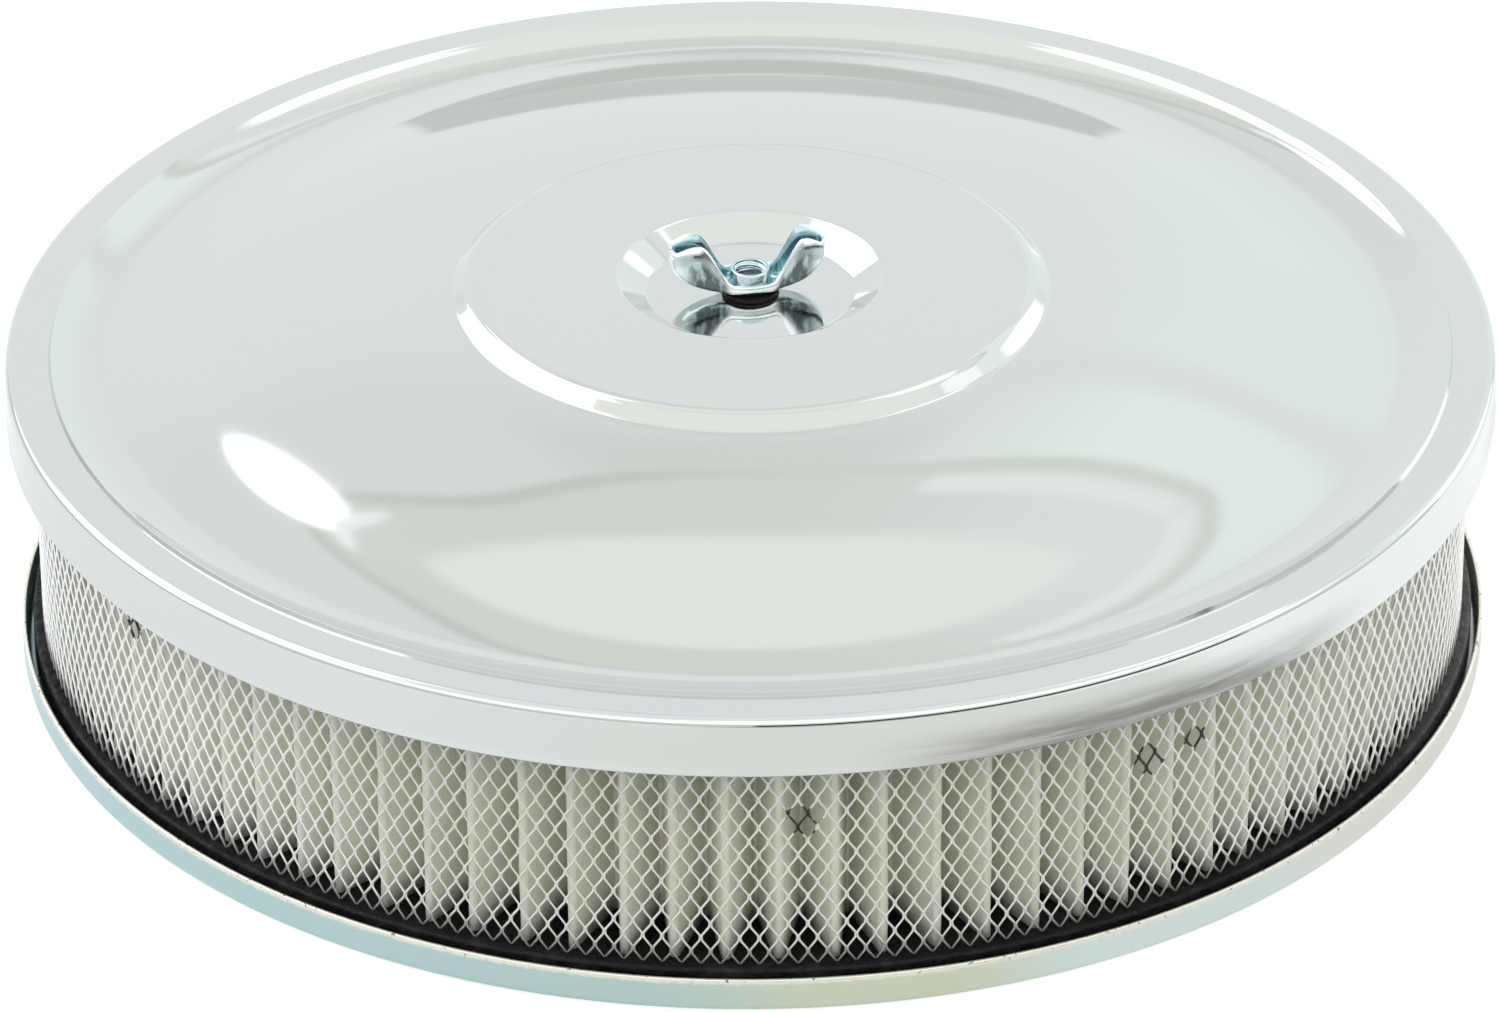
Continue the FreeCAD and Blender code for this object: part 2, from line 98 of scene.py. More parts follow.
def round_corners(points, steps=5):
    """Rounds a closed polyline. Each point is (x, y) to keep, or (x, y, radius) for a corner to round."""
    result = []
    count = len(points)
    for k, point in enumerate(points):
        x, y = point[:2]
        radius = point[2] if len(point) > 2 else 0.0
        if radius == 0.0:
            result.append((x, y))
            continue
        here = Vector((x, y))
        before = (Vector(points[k - 1][:2]) - here).normalized()
        after = (Vector(points[(k + 1) % count][:2]) - here).normalized()
        half = before.angle(after) / 2
        reach = radius / math.tan(half)
        first, last = here + before * reach, here + after * reach
        turn = 1 if before.x * after.y - before.y * after.x < 0 else -1
        result.append(tuple(first))
        result += arc_points(tuple(first), tuple(last), radius, turn, steps)
    return result


def hold_flats(points, inset=0.25, shortest=1.2):
    """Adds a point near both ends of each long straight stretch, so that smooth shading keeps it flat."""
    result = []
    for k, point in enumerate(points):
        after = points[(k + 1) % len(points)]
        length = math.dist(point, after)
        result.append(point)
        if length > shortest:
            for share in (inset / length, 1 - inset / length):
                result.append(tuple(a + (b - a) * share for a, b in zip(point, after)))
    return result


def lathe(profile, segments):
    """Turns a closed (radius, height) profile round the Z axis."""
    count = len(profile)
    verts, faces = [], []
    for j in range(segments):
        c, s = math.cos(TAU * j / segments), math.sin(TAU * j / segments)
        verts += [(r * c, r * s, z) for r, z in profile]
    for j in range(segments):
        a, b = j * count, (j + 1) % segments * count
        for i in range(count):
            n = (i + 1) % count
            faces.append((a + i, b + i, b + n, a + n))
    return verts, faces


def joined(*meshes):
    """Several (verts, faces) pairs as one."""
    verts, faces = [], []
    for more_verts, more_faces in meshes:
        start = len(verts)
        verts += more_verts
        faces += [tuple(start + i for i in face) for face in more_faces]
    return verts, faces


# ---- material helpers ----------------------------------------------------------------------------


class Graph:
    """A node tree with short calls for the nodes used here."""

    def __init__(self, tree):
        self.tree = tree
        tree.nodes.clear()

    def add(self, kind, inputs=None, **settings):
        node = self.tree.nodes.new(kind)
        for key, value in settings.items():
            setattr(node, key, value)
        for key, value in (inputs or {}).items():
            self.put(node.inputs[key], value)
        return node

    def put(self, socket, value):
        if isinstance(value, bpy.types.NodeSocket):
            self.tree.links.new(value, socket)
        else:
            socket.default_value = value

    def math(self, operation, *values):
        node = self.add("ShaderNodeMath", operation=operation)
        for socket, value in zip(node.inputs, values):
            self.put(socket, value)
        return node.outputs[0]

    def place(self):
        return self.add("ShaderNodeTexCoord").outputs["Object"]

    def axes(self, vector=None):
        """The x, y and z of a vector, or of the shaded place in metres."""
        return self.add("ShaderNodeSeparateXYZ", {"Vector": vector or self.place()}).outputs

    def distance(self, first, second):
        node = self.add("ShaderNodeVectorMath", {0: first, 1: second}, operation="DISTANCE")
        return node.outputs["Value"]

    def noise(self, scale, detail=2.0, where=None, stretch=None):
        where = where or self.place()
        if stretch:
            node = self.add("ShaderNodeMapping", {"Vector": where, "Scale": stretch})
            where = node.outputs[0]
        inputs = {"Vector": where, "Scale": scale, "Detail": detail}
        return self.add("ShaderNodeTexNoise", inputs).outputs[0]

    def step(self, value, low, high, out_low=0.0, out_high=1.0):
        """A smooth step from out_low to out_high as value goes from low to high."""
        node = self.add("ShaderNodeMapRange", interpolation_type="SMOOTHSTEP")
        for socket, number in zip(node.inputs, (value, low, high, out_low, out_high)):
            self.put(socket, number)
        return node.outputs[0]

    def blend(self, factor, first, second):
        node = self.add("ShaderNodeMix", data_type="RGBA")
        for key, value in ((0, factor), (6, first), (7, second)):
            self.put(node.inputs[key], rgba(value))
        return node.outputs[2]

    def bump(self, height, depth_mm, strength=1.0, under=None):
        inputs = {"Height": height, "Distance": depth_mm * MM, "Strength": strength}
        if under:
            inputs["Normal"] = under
        return self.add("ShaderNodeBump", inputs).outputs[0]


def rgba(value):
    return (*value, 1.0) if isinstance(value, tuple) and len(value) == 3 else value


def surface(name, build):
    """A material whose Principled inputs come from build(graph)."""
    made = bpy.data.materials.new(name)
    made.use_nodes = True
    graph = Graph(made.node_tree)
    inputs = {key: rgba(value) for key, value in build(graph).items()}
    principled = graph.add("ShaderNodeBsdfPrincipled", inputs)
    graph.add("ShaderNodeOutputMaterial", {"Surface": principled.outputs[0]})
    return made


def chrome_look(g):
    """Mirror chrome with faint orange peel; a painted shadow reflection darkens the skirt at the front
    right.
    """
    smudge = g.noise(9.0, 4.0)
    grain = g.noise(1500.0, 2.0)
    peel = g.bump(g.noise(420.0, 2.0), 0.002, 0.25)
    height = g.axes()[2]
    low = g.math("MULTIPLY", g.step(height, 0.0765, 0.072), g.step(height, 0.0755, 0.066))
    away = g.distance(g.place(), (0.09, -0.156, 0.067))
    streaks = g.step(g.noise(40.0, 4.0, stretch=(1.0, 1.0, 14.0)), 0.3, 0.6, 0.55, 1.0)
    # Painted reflection: the skirt's lower front right is darkened as if it mirrored a shadow on the floor.
    painted_shadow_reflection = g.math("MULTIPLY", g.math("MULTIPLY", g.step(away, 0.075, 0.022), streaks), low)
    color = g.blend(smudge, (0.69, 0.71, 0.69), (0.71, 0.73, 0.71))
    return {
        "Base Color": g.blend(painted_shadow_reflection, color, (0.27, 0.275, 0.255)),
        "Metallic": 1.0,
        "Roughness": g.math("ADD", g.step(smudge, 0.35, 0.7, 0.035, 0.06), g.math("MULTIPLY", grain, 0.02)),
        "Normal": peel,
    }


def plated_pan_look(g):
    """Zinc with a bluish to yellowish film across the pan, and a lighter, speckled cream upper edge."""
    x, _, z = g.axes()
    across = g.math("ADD", x, g.math("MULTIPLY", g.noise(14.0, 3.0), 0.06))
    film = g.blend(g.step(across, -0.01, 0.05), (0.50, 0.65, 0.655), (0.66, 0.70, 0.58))
    film = g.blend(g.step(across, 0.075, 0.115), film, (0.71, 0.81, 0.82))
    film = g.blend(g.step(across, 0.14, 0.175), film, (0.80, 0.79, 0.76))
    height = g.math("ADD", z, g.math("MULTIPLY", g.noise(700.0), 0.0012))
    # Lighter and creamier over the top millimetre of the rim.
    color = g.blend(g.step(height, 0.0076, 0.0086), film, (0.86, 0.85, 0.76))
    specks = g.step(g.noise(900.0, 1.0), 0.66, 0.72)
    color = g.blend(g.math("MULTIPLY", specks, g.step(height, 0.0078, 0.0088)), color, (0.25, 0.24, 0.2))
    return {
        "Base Color": color,
        "Metallic": 0.85,
        "Roughness": g.step(g.noise(60.0, 3.0), 0.3, 0.7, 0.26, 0.4),
        "Normal": g.bump(g.noise(800.0, 2.0), 0.01, 0.3),
    }


def rubber_look(g):
    """Black moulded rubber with dust specks and painted sheen patches, painted lighter at the right where
    light falls on it.
    """
    dust = g.step(g.noise(1300.0, 2.0), 0.62, 0.78, 0.0, 0.5)
    # Painted sheen: lighter grey patches stand for light glancing off the rubber.
    painted_sheen = g.step(g.noise(160.0, 3.0), 0.45, 0.75, 0.0, 0.35)
    dust_and_sheen = g.math("MAXIMUM", dust, painted_sheen)
    across = g.axes()[0]
    tone = g.blend(dust_and_sheen, (0.006, 0.006, 0.007), (0.04, 0.04, 0.039))
    painted_lit_side = g.blend(dust_and_sheen, (0.06, 0.061, 0.064), (0.18, 0.18, 0.185))
    return {
        # Painted light: lighter at the right side, which the lid does not shade.
        "Base Color": g.blend(g.step(across, 0.145, 0.175), tone, painted_lit_side),
        "Specular IOR Level": 0.2,
        "Roughness": g.step(g.noise(240.0, 2.0), 0.35, 0.65, 0.42, 0.65),
        "Normal": g.bump(g.noise(420.0, 5.0), 0.9, 0.9),
    }


def screen_look(g):
    """Zinc-coated strands, scorched at a few spot welds, painted lighter towards both sides as if lit from
    there, and darker towards the bottom.
    """
    place = g.place()
    ragged = g.math("MULTIPLY", g.noise(500.0, 2.0), 0.006)
    burn = 0.0
    for spot, size in (
        ((0.0905, -0.1493, 0.0485), 0.0078),
        ((0.1020, -0.1417, 0.0500), 0.0068),
        ((0.0108, -0.1743, 0.0480), 0.0075),
        ((-0.1450, -0.0975, 0.0545), 0.0070),
    ):
        dust_and_sheen = g.step(g.math("ADD", g.distance(place, spot), ragged), size, size - 0.0012)
        burn = g.math("MAXIMUM", burn, dust_and_sheen)
    x, _, z = g.axes()
    shade = g.blend(g.noise(350.0, 2.0), (0.66, 0.66, 0.595), (0.82, 0.82, 0.77))
    # Painted light: the strands are lighter towards both sides, as if lit from the sides.
    shade = g.blend(g.step(g.math("ABSOLUTE", x), 0.07, 0.15), shade, (0.96, 0.96, 0.94))
    # Darker towards the bottom, over the lowest few millimetres.
    shade = g.blend(g.step(z, 0.0165, 0.0095), shade, (0.16, 0.16, 0.15))
    return {
        "Base Color": g.blend(burn, shade, (0.03, 0.03, 0.03)),
        "Metallic": 0.3,
        "Roughness": 0.38,
        "Normal": g.bump(g.noise(1800.0, 2.0), 0.03, 0.5),
    }


def paper_look(g):
    """Fibrous filter paper, with painted shade darkening it towards both sides."""
    fibre = g.noise(900.0, 5.0, stretch=(1.0, 1.0, 0.35))
    cloud = g.noise(55.0, 3.0)
    across = g.axes()[0]
    tone = g.blend(g.step(cloud, 0.35, 0.7), (0.75, 0.75, 0.65), (0.81, 0.81, 0.725))
    # Painted shade: the paper darkens towards both sides.
    tone = g.blend(g.step(across, -0.14, -0.17), tone, (0.33, 0.33, 0.30))
    tone = g.blend(g.step(across, 0.13, 0.17), tone, (0.62, 0.62, 0.56))
    return {
        "Base Color": g.blend(g.math("MULTIPLY", fibre, 0.3), tone, (0.66, 0.63, 0.52)),
        "Roughness": 0.85,
        "Normal": g.bump(fibre, 0.12, 0.5, g.bump(g.noise(120.0, 2.0), 0.5, 0.4)),
    }


def nut_look(g):
    """Bright zinc with a blue-green tinge inside, and a painted dark reflection on the wings' flat faces.
    """
    painted_dark_reflection = g.add("ShaderNodeAttribute", attribute_name="painted_dark_reflection").outputs["Fac"]
    inside = g.add("ShaderNodeAttribute", attribute_name="inside").outputs["Fac"]
    drift = g.noise(170.0, 3.0)
    bright = g.blend(g.step(drift, 0.35, 0.65), (0.66, 0.78, 0.80), (0.84, 0.88, 0.88))
    tinged = g.blend(g.step(drift, 0.35, 0.65), (0.33, 0.50, 0.54), (0.47, 0.61, 0.64))
    streaks = g.noise(560.0, 4.0, stretch=(1.0, 1.0, 0.4))
    dark = g.blend(g.step(streaks, 0.42, 0.7), (0.10, 0.125, 0.13), (0.42, 0.50, 0.51))
    film = g.blend(inside, bright, tinged)
    return {
        # Painted reflection: the wings' outer flat faces are darkened as if they mirrored dark
        # surroundings.
        "Base Color": g.blend(painted_dark_reflection, film, dark),
        "Metallic": 1.0,
        "Roughness": g.step(drift, 0.3, 0.7, 0.12, 0.24),
        "Normal": g.bump(g.noise(650.0, 3.0), 0.1, 0.45),
    }


def nut_edge_look(g):
    """The sheared edges of the wing nut's sheet."""
    grain = g.noise(1400.0, 3.0)
    return {
        "Base Color": g.blend(grain, (0.82, 0.85, 0.85), (0.93, 0.95, 0.95)),
        "Metallic": 1.0,
        "Roughness": g.step(grain, 0.3, 0.7, 0.22, 0.36),
        "Normal": g.bump(grain, 0.04, 0.5),
    }


def thread_look(g):
    return {
        "Base Color": g.blend(g.noise(500.0, 2.0), (0.30, 0.31, 0.31), (0.5, 0.51, 0.50)),
        "Metallic": 1.0,
        "Roughness": g.step(g.noise(900.0, 2.0), 0.3, 0.7, 0.25, 0.42),
        "Normal": g.bump(g.noise(2200.0, 2.0), 0.02, 0.4),
    }


def strip_look(g):
    grain = g.noise(700.0, 2.0, stretch=(4.0, 4.0, 0.2))
    return {
        "Base Color": g.blend(grain, (0.55, 0.55, 0.54), (0.72, 0.72, 0.71)),
        "Metallic": 1.0,
        "Roughness": g.step(grain, 0.3, 0.7, 0.28, 0.45),
        "Normal": g.bump(grain, 0.01, 0.4),
    }


def gasket_look(g):
    flecks = g.noise(800.0, 4.0)
    return {
        "Base Color": g.blend(g.step(flecks, 0.45, 0.65), (0.02, 0.02, 0.02), (0.09, 0.085, 0.075)),
        "Roughness": 0.8,
        "Normal": g.bump(flecks, 0.15, 0.6),
    }


chrome = surface("chrome", chrome_look)
plated_pan = surface("plated_pan", plated_pan_look)
rubber = surface("rubber", rubber_look)
screen_metal = surface("screen_metal", screen_look)
paper = surface("paper", paper_look)
nut_zinc = surface("nut_zinc", nut_look)
nut_edge = surface("nut_edge", nut_edge_look)
thread_steel = surface("thread_steel", thread_look)
strip_steel = surface("strip_steel", strip_look)
gasket_fibre = surface("gasket_fibre", gasket_look)


# ---- cover ---------------------------------------------------------------------------------------

cover_low, cover_high = mm_box("top_cover")
PLATFORM = cover_high.z
RIM = PLATFORM - 16.4
COVER_R = 180.0
SHEET = 0.8
WELL_DEPTH = 4.7
WELL_FLOOR = PLATFORM - WELL_DEPTH
HEM_HEIGHT = 1.6
HEM_PROUD = 0.25
STEP_FOOT = (169.5, RIM)
STEP_CREST = (168.97, RIM + 1.1)
GROOVE_OUT = (158.15, RIM - 2.156)
GROOVE_IN = (155.96, RIM - 2.172)
DOME_FOOT = (135.0, RIM + 2.26)
PLATFORM_FOOT = (72.0, RIM + 13.17)
PLATFORM_R = 67.85
WELL_R = 32.3
WELL_FLOOR_R = 25.1
STUD_HOLE_R = 4.6


def cover_dish(lift):
    """The pressed surface from the step's top down through the groove and up the dome, raised by lift."""
    corners = (STEP_CREST, GROOVE_OUT, GROOVE_IN, DOME_FOOT, PLATFORM_FOOT)
    crest, groove_out, groove_in, dome, foot = ((r, z + lift) for r, z in corners)
    points = [crest]
    points += arc_points(crest, groove_out, 35.3, -1, 12)
    points += arc_points(groove_out, groove_in, 8.0, -1, 6)
    points += arc_points(groove_in, dome, 138.0, -1, 14)
    points += arc_points(dome, foot, 279.0, 1, 26)
    return points


def make_cover():
    """The pressed cover with its folded lower edge. The points on the step's wall keep its shading flat."""
    bottom = cover_low.z
    edge, wall = COVER_R + HEM_PROUD, COVER_R - SHEET
    step_wall = [
        tuple(a + (b - a) * share for a, b in zip(STEP_FOOT, STEP_CREST)) for share in (0.05, 0.95)
    ]
    upper = [
        (edge, bottom, 0.3),
        (edge, bottom + 0.3, 0.2),
        (COVER_R, bottom + HEM_HEIGHT + 0.2, 0.4),
        (COVER_R, RIM, 2.0),
        (STEP_FOOT[0] + 0.08, RIM),
        (*STEP_FOOT, 0.04),
        *step_wall,
        (*STEP_CREST, 0.06),
    ]
    upper += cover_dish(0.0)[1:-1]
    upper += [
        (*PLATFORM_FOOT, 1.6),
        (PLATFORM_R, PLATFORM, 4.6),
        (WELL_R, PLATFORM, 1.6),
        (WELL_FLOOR_R, WELL_FLOOR, 1.3),
        (STUD_HOLE_R, WELL_FLOOR, 0.15),
    ]
    under = [
        (STUD_HOLE_R, WELL_FLOOR - SHEET, 0.15),
        (WELL_FLOOR_R + 0.3, WELL_FLOOR - SHEET, 2.0),
        (WELL_R + 0.3, PLATFORM - SHEET, 1.0),
        (PLATFORM_R - 0.1, PLATFORM - SHEET, 3.8),
        (PLATFORM_FOOT[0], PLATFORM_FOOT[1] - SHEET, 1.6),
    ]
    under += cover_dish(-SHEET)[-2:0:-1]
    under += [
        (STEP_CREST[0], STEP_CREST[1] - SHEET, 0.2),
        (STEP_FOOT[0], RIM - SHEET, 0.2),
        (wall, RIM - SHEET, 1.2),
        (wall, bottom + HEM_HEIGHT, 0.1),
        (wall - 0.4, bottom + HEM_HEIGHT - 0.2, 0.1),
        (wall - 0.4, bottom, 0.2),
    ]
    verts, faces = lathe(hold_flats(round_corners(upper + under), shortest=3.0), 384)
    add_piece("cover_shell", verts, faces, "cover", "top_cover", chrome)


make_cover()


# ---- base pan ------------------------------------------------------------------------------------

pan_high = mm_box("base_pan")[1]
gasket_high = mm_box("neck_gasket")[1]
PAN_SHEET = 1.0
PAN_R = 179.0
PAN_RIM = 8.7
NECK_R = 65.1


def pan_surface(lift):
    """The pan from the element's seat in to the gasket seat: locating ramp, bead, fall to the neck."""
    return [
        (149.4, lift, 0.8),
        (145.4, 5.0 + lift, 1.5),
        (128.0, 7.3 + lift, 2.0),
        (125.0, 9.5 + lift, 1.5),
        (119.0, 9.5 + lift, 1.5),
        (116.0, 7.74 + lift, 1.5),
        (100.0, 8.6 + lift, 2.5),
        (90.0, gasket_high.z + lift, 2.0),
    ]


def make_base():
    seat = gasket_high.z
    profile = [
        (PAN_R, PAN_RIM, 0.4),
        (PAN_R, 0.0, 2.0),
        *pan_surface(0.0),
        (NECK_R, seat, 0.4),
        (NECK_R, pan_high.z, 0.3),
        (NECK_R + PAN_SHEET, pan_high.z, 0.3),
        (NECK_R + PAN_SHEET, seat + PAN_SHEET, 0.6),
        *pan_surface(PAN_SHEET)[::-1],
        (PAN_R - PAN_SHEET, PAN_SHEET, 1.0),
        (PAN_R - PAN_SHEET, PAN_RIM, 0.4),
    ]
    verts, faces = lathe(hold_flats(round_corners(profile)), 320)
    add_piece("pan_shell", verts, faces, "base", "base_pan", plated_pan)


make_base()
recoat("neck_gasket", gasket_fibre)


# ---- filter element ------------------------------------------------------------------------------

lower_low, lower_high = mm_box("element_bottom_seal")
upper_low, upper_high = mm_box("element_top_seal")
RING_OUT = 176.3
RING_IN = 150.0
RING_EDGE = 0.9
CHANNEL_DEPTH = 0.35
FLOOR_Z = lower_high.z
CEILING_Z = upper_low.z


def ring_profile(bottom, top):
    """A moulded end ring: rounded edges, and a shallow channel left by the mould on its outer face."""
    middle = (bottom + top) / 2
    return [
        (RING_OUT, bottom, RING_EDGE),
        (RING_OUT, middle - 1.0, 0.3),
        (RING_OUT - CHANNEL_DEPTH, middle - 0.6, 0.2),
        (RING_OUT - CHANNEL_DEPTH, middle + 0.6, 0.2),
        (RING_OUT, middle + 1.0, 0.3),
        (RING_OUT, top, RING_EDGE),
        (RING_IN, top, 1.0),
        (RING_IN, bottom, 1.0),
    ]


def make_end_rings():
    for name, node, low, high in (
        ("lower_seal", "element_bottom_seal", lower_low.z, lower_high.z),
        ("upper_seal", "element_top_seal", upper_low.z, upper_high.z),
    ):
        verts, faces = lathe(hold_flats(round_corners(ring_profile(low, high))), 320)
        add_piece(name, verts, faces, "filter_element", node, rubber)


DIAMOND_WIDE = 4.45
DIAMOND_HIGH = 7.34
STRAND_WIDE = 0.42
STRAND_DEEP = 0.5
STRAND_TILT = math.radians(32)
KNUCKLE_HALF = 0.4
KNUCKLE_SIDE = 0.12
BEND_RISE = 0.7
BEND_SIDE = 0.26
OUTER_MESH_R = 173.6
INNER_MESH_R = 151.6


def strand(radius, start, rise, lean):
    """One strand of expanded metal from a knuckle up to the next, as a thin bar tilted like a louvre.

    start is (angle, height) of the lower knuckle; lean is 1 when the strand leans anticlockwise.
    """
    side = lean * DIAMOND_WIDE / 2
    path = [
        (KNUCKLE_SIDE * lean, -KNUCKLE_HALF),
        (BEND_SIDE * lean, BEND_RISE),
        (side - BEND_SIDE * lean, rise - BEND_RISE),
        (side - KNUCKLE_SIDE * lean, rise + KNUCKLE_HALF),
    ]
    along = Vector((side, rise)).normalized()
    flat = Vector((along.y, -along.x)) * lean
    verts = []
    for u, v in path:
        for a, b in ((-1, -1), (1, -1), (1, 1), (-1, 1)):
            wide, deep = a * STRAND_WIDE / 2, b * STRAND_DEEP / 2
            across = wide * math.cos(STRAND_TILT) - deep * math.sin(STRAND_TILT)
            outward = wide * math.sin(STRAND_TILT) + deep * math.cos(STRAND_TILT)
            r = radius + outward
            angle = start[0] + (u + flat.x * across) / radius
            verts.append((r * math.cos(angle), r * math.sin(angle), start[1] + v + flat.y * across))
    faces = []
    for ring in range(len(path) - 1):
        for k in range(4):
            a, b = ring * 4 + k, ring * 4 + (k + 1) % 4
            faces.append((a, b, b + 4, a + 4))
    last = (len(path) - 1) * 4
    faces.append((3, 2, 1, 0))
    faces.append((last, last + 1, last + 2, last + 3))
    return verts, faces


def expanded_metal(radius, bottom, top, side=0):
    """A cylinder of expanded metal: diamonds between staggered knuckles.

    A side of 1 makes only the back half, and -1 only the front half.
    """
    around = round(TAU * radius / DIAMOND_WIDE)
    rows = round((top - bottom) / (DIAMOND_HIGH / 2))
    rise = (top - bottom) / rows
    strands = []
    for row in range(rows):
        for column in range(around):
            angle = (column + row % 2 / 2) * TAU / around
            if side and (angle < math.pi) != (side > 0):
                continue
            for lean in (-1, 1):
                strands.append(strand(radius, (angle, bottom + row * rise), rise, lean))
    return joined(*strands)


def make_screens():
    """Both screens end inside the moulded rings."""
    bed = 0.6
    for name, node, radius, side in (
        ("outer_mesh_back", "outer_screen", OUTER_MESH_R, 1),
        ("outer_mesh_front", "outer_screen", OUTER_MESH_R, -1),
        ("inner_mesh", "inner_screen", INNER_MESH_R, 0),
    ):
        verts, faces = expanded_metal(radius, FLOOR_Z - bed, CEILING_Z + bed, side)
        add_piece(name, verts, faces, "filter_element", node, screen_metal, smooth=False)


PLEATS = 90
PAPER = 0.7
FOLD = 0.8
TIP_R = 172.8 - PAPER / 2
VALLEY_R = 152.3 + PAPER / 2


def pleat_path(jitter):
    """The paper's middle line as a closed zigzag with rounded folds."""
    pitch = TAU / PLEATS
    half_angle = math.atan(pitch * TIP_R / 2 / (TIP_R - VALLEY_R))
    beyond = FOLD / math.sin(half_angle) - FOLD
    corners = []
    for k in range(PLEATS):
        tip = (k + jitter[k]) * pitch
        valley = (k + 0.5 + jitter[k + PLEATS]) * pitch
        for radius, angle in ((TIP_R + beyond, tip), (VALLEY_R - beyond, valley)):
            corners.append((radius * math.cos(angle), radius * math.sin(angle), FOLD))
    return round_corners(corners, steps=6)


def make_media():
    """Pleated paper with a little unevenness from fold to fold. Its ends are bedded in the rings."""
    seeded = random.Random(5)
    jitter = [seeded.uniform(-0.05, 0.05) for _ in range(2 * PLEATS)]
    path = hold_flats(pleat_path(jitter), inset=6.0, shortest=13.0)
    levels = 9
    bed = 0.4
    count = len(path)
    verts, faces = [], []
    for side in (1, -1):
        for level in range(levels):
            z = FLOOR_Z - bed + (CEILING_Z - FLOOR_Z + 2 * bed) * level / (levels - 1)
            for k, (x, y) in enumerate(path):
                before, after = Vector(path[k - 1]), Vector(path[(k + 1) % count])
                normal = Vector((after.y - before.y, before.x - after.x)).normalized()
                wave = 0.14 * math.sin(z * 0.21 + k * 0.37) * math.sin(k * 0.113 + 1.7)
                offset = side * PAPER / 2 + wave
                verts.append((x + normal.x * offset, y + normal.y * offset, z))
    for side in range(2):
        for level in range(levels - 1):
            low = (side * levels + level) * count
            for k in range(count):
                n = (k + 1) % count
                faces.append((low + k, low + n, low + count + n, low + count + k))
    inner = levels * count
    for level in (0, levels - 1):
        for k in range(count):
            a, b = level * count + k, level * count + (k + 1) % count
            faces.append((a, b, inner + b, inner + a))
    add_piece("pleats", verts, faces, "filter_element", "pleated_media", paper)


make_end_rings()
make_screens()
make_media()
recoat("media_seam_clip", strip_steel)


# ---- stud, lock nut, washer and wing nut ---------------------------------------------------------

THREAD_PITCH = 25.4 / 18
THREAD_DEPTH = 0.7
STUD_R = 3.97
SHANK_R = 3.55
SHANK_SPANS = ((28.0, 29.2), (41.0, 69.0))
RINGS_PER_PITCH = 10
NUT_R = 4.02


def thread_depth(angle, z):
    """How far a right-hand thread is cut in at this angle and height, from 0 at a crest to 1."""
    phase = (z / THREAD_PITCH - angle / TAU) % 1.0
    return min(1.0, max(0.0, 1.25 - abs(phase - 0.5) * 2.9))


stud_low, stud_high = mm_box("centre_stud")


def stud_radius(angle, z):
    """The stud's outline: two threaded ends, a groove and a plain shank."""
    end = min(z - stud_low.z, stud_high.z - z)
    chamfer = max(0.0, 0.7 - end)
    radius = STUD_R - thread_depth(angle, z) * THREAD_DEPTH - chamfer
    if any(low < z < high for low, high in SHANK_SPANS):
        radius = min(radius, SHANK_R)
    return radius


def make_stud():
    around = 40
    rings = int((stud_high.z - stud_low.z) / THREAD_PITCH * RINGS_PER_PITCH)
    verts, faces = [], []
    for ring in range(rings + 1):
        z = stud_low.z + (stud_high.z - stud_low.z) * ring / rings
        for k in range(around):
            angle = TAU * k / around
            r = stud_radius(angle, z)
            verts.append((r * math.cos(angle), r * math.sin(angle), z))
    for ring in range(rings):
        for k in range(around):
            a, b = ring * around + k, ring * around + (k + 1) % around
            faces.append((a, b, b + around, a + around))
    faces.append(tuple(range(around))[::-1])
    faces.append(tuple(rings * around + k for k in range(around)))
    add_piece("stud", verts, faces, "base", "centre_stud", thread_steel)


def threaded_sleeve(outline, bottom, top, around=48):
    """A nut's body: outline(angle) gives its outside rings, and the bore has a thread."""
    verts, faces = [], []
    inside = max(8, int((top - bottom) / THREAD_PITCH * RINGS_PER_PITCH))
    rings = len(outline(0.0)) + inside + 1
    for k in range(around):
        angle = TAU * k / around
        ring = list(outline(angle))
        for step in range(inside + 1):
            z = top + (bottom - top) * step / inside
            mouth = max(0.0, 0.6 - min(z - bottom, top - z))
            ring.append((NUT_R - thread_bite(angle, z, mouth), z))
        verts += [(r * math.cos(angle), r * math.sin(angle), z) for r, z in ring]
    for k in range(around):
        a, b = k * rings, (k + 1) % around * rings
        for i in range(rings):
            n = (i + 1) % rings
            faces.append((a + i, b + i, b + n, a + n))
    return verts, faces


def thread_bite(angle, z, mouth):
    """How far the nut's thread stands in from its bore, less at the chamfered mouths."""
    return max(0.0, thread_depth(angle, z) * THREAD_DEPTH - mouth)


nut_low, nut_high = mm_box("wing_nut")
lock_low, lock_high = mm_box("stud_lock_nut")


def make_lock_nut():
    """A thin hexagon nut, chamfered on both faces. flat is half its width across the flats."""
    flat = 6.35
    bottom, top = lock_low.z, lock_high.z

    def outline(angle):
        corner = flat / math.cos((angle + math.pi / 6) % (math.pi / 3) - math.pi / 6)
        drop = max(0.0, corner - flat * 0.97) * math.tan(math.radians(30))
        return [
            (NUT_R + 0.1, bottom),
            (flat * 0.95, bottom),
            (corner, bottom + drop),
            (corner, top - drop),
            (flat * 0.95, top),
            (NUT_R + 0.1, top),
        ]

    verts, faces = threaded_sleeve(outline, bottom, top, around=72)
    add_piece("lock_nut", verts, faces, "base", "stud_lock_nut", thread_steel, smooth=False)


def make_washer():
    low, high = mm_box("wing_nut_seal")
    profile = [(7.0, low.z, 0.5), (7.0, high.z, 0.5), (4.3, high.z, 0.3), (4.3, low.z, 0.3)]
    verts, faces = lathe(round_corners(profile), 64)
    add_piece("nut_washer", verts, faces, "nut_washer", "wing_nut_seal", rubber)


WING_TIP = 18.95
WING_TURN = math.radians(9)
WING_SHIFT = 0.7
WING_START = 4.8
WALL_HEIGHT = 3.4
NUT_SHEET = 0.8


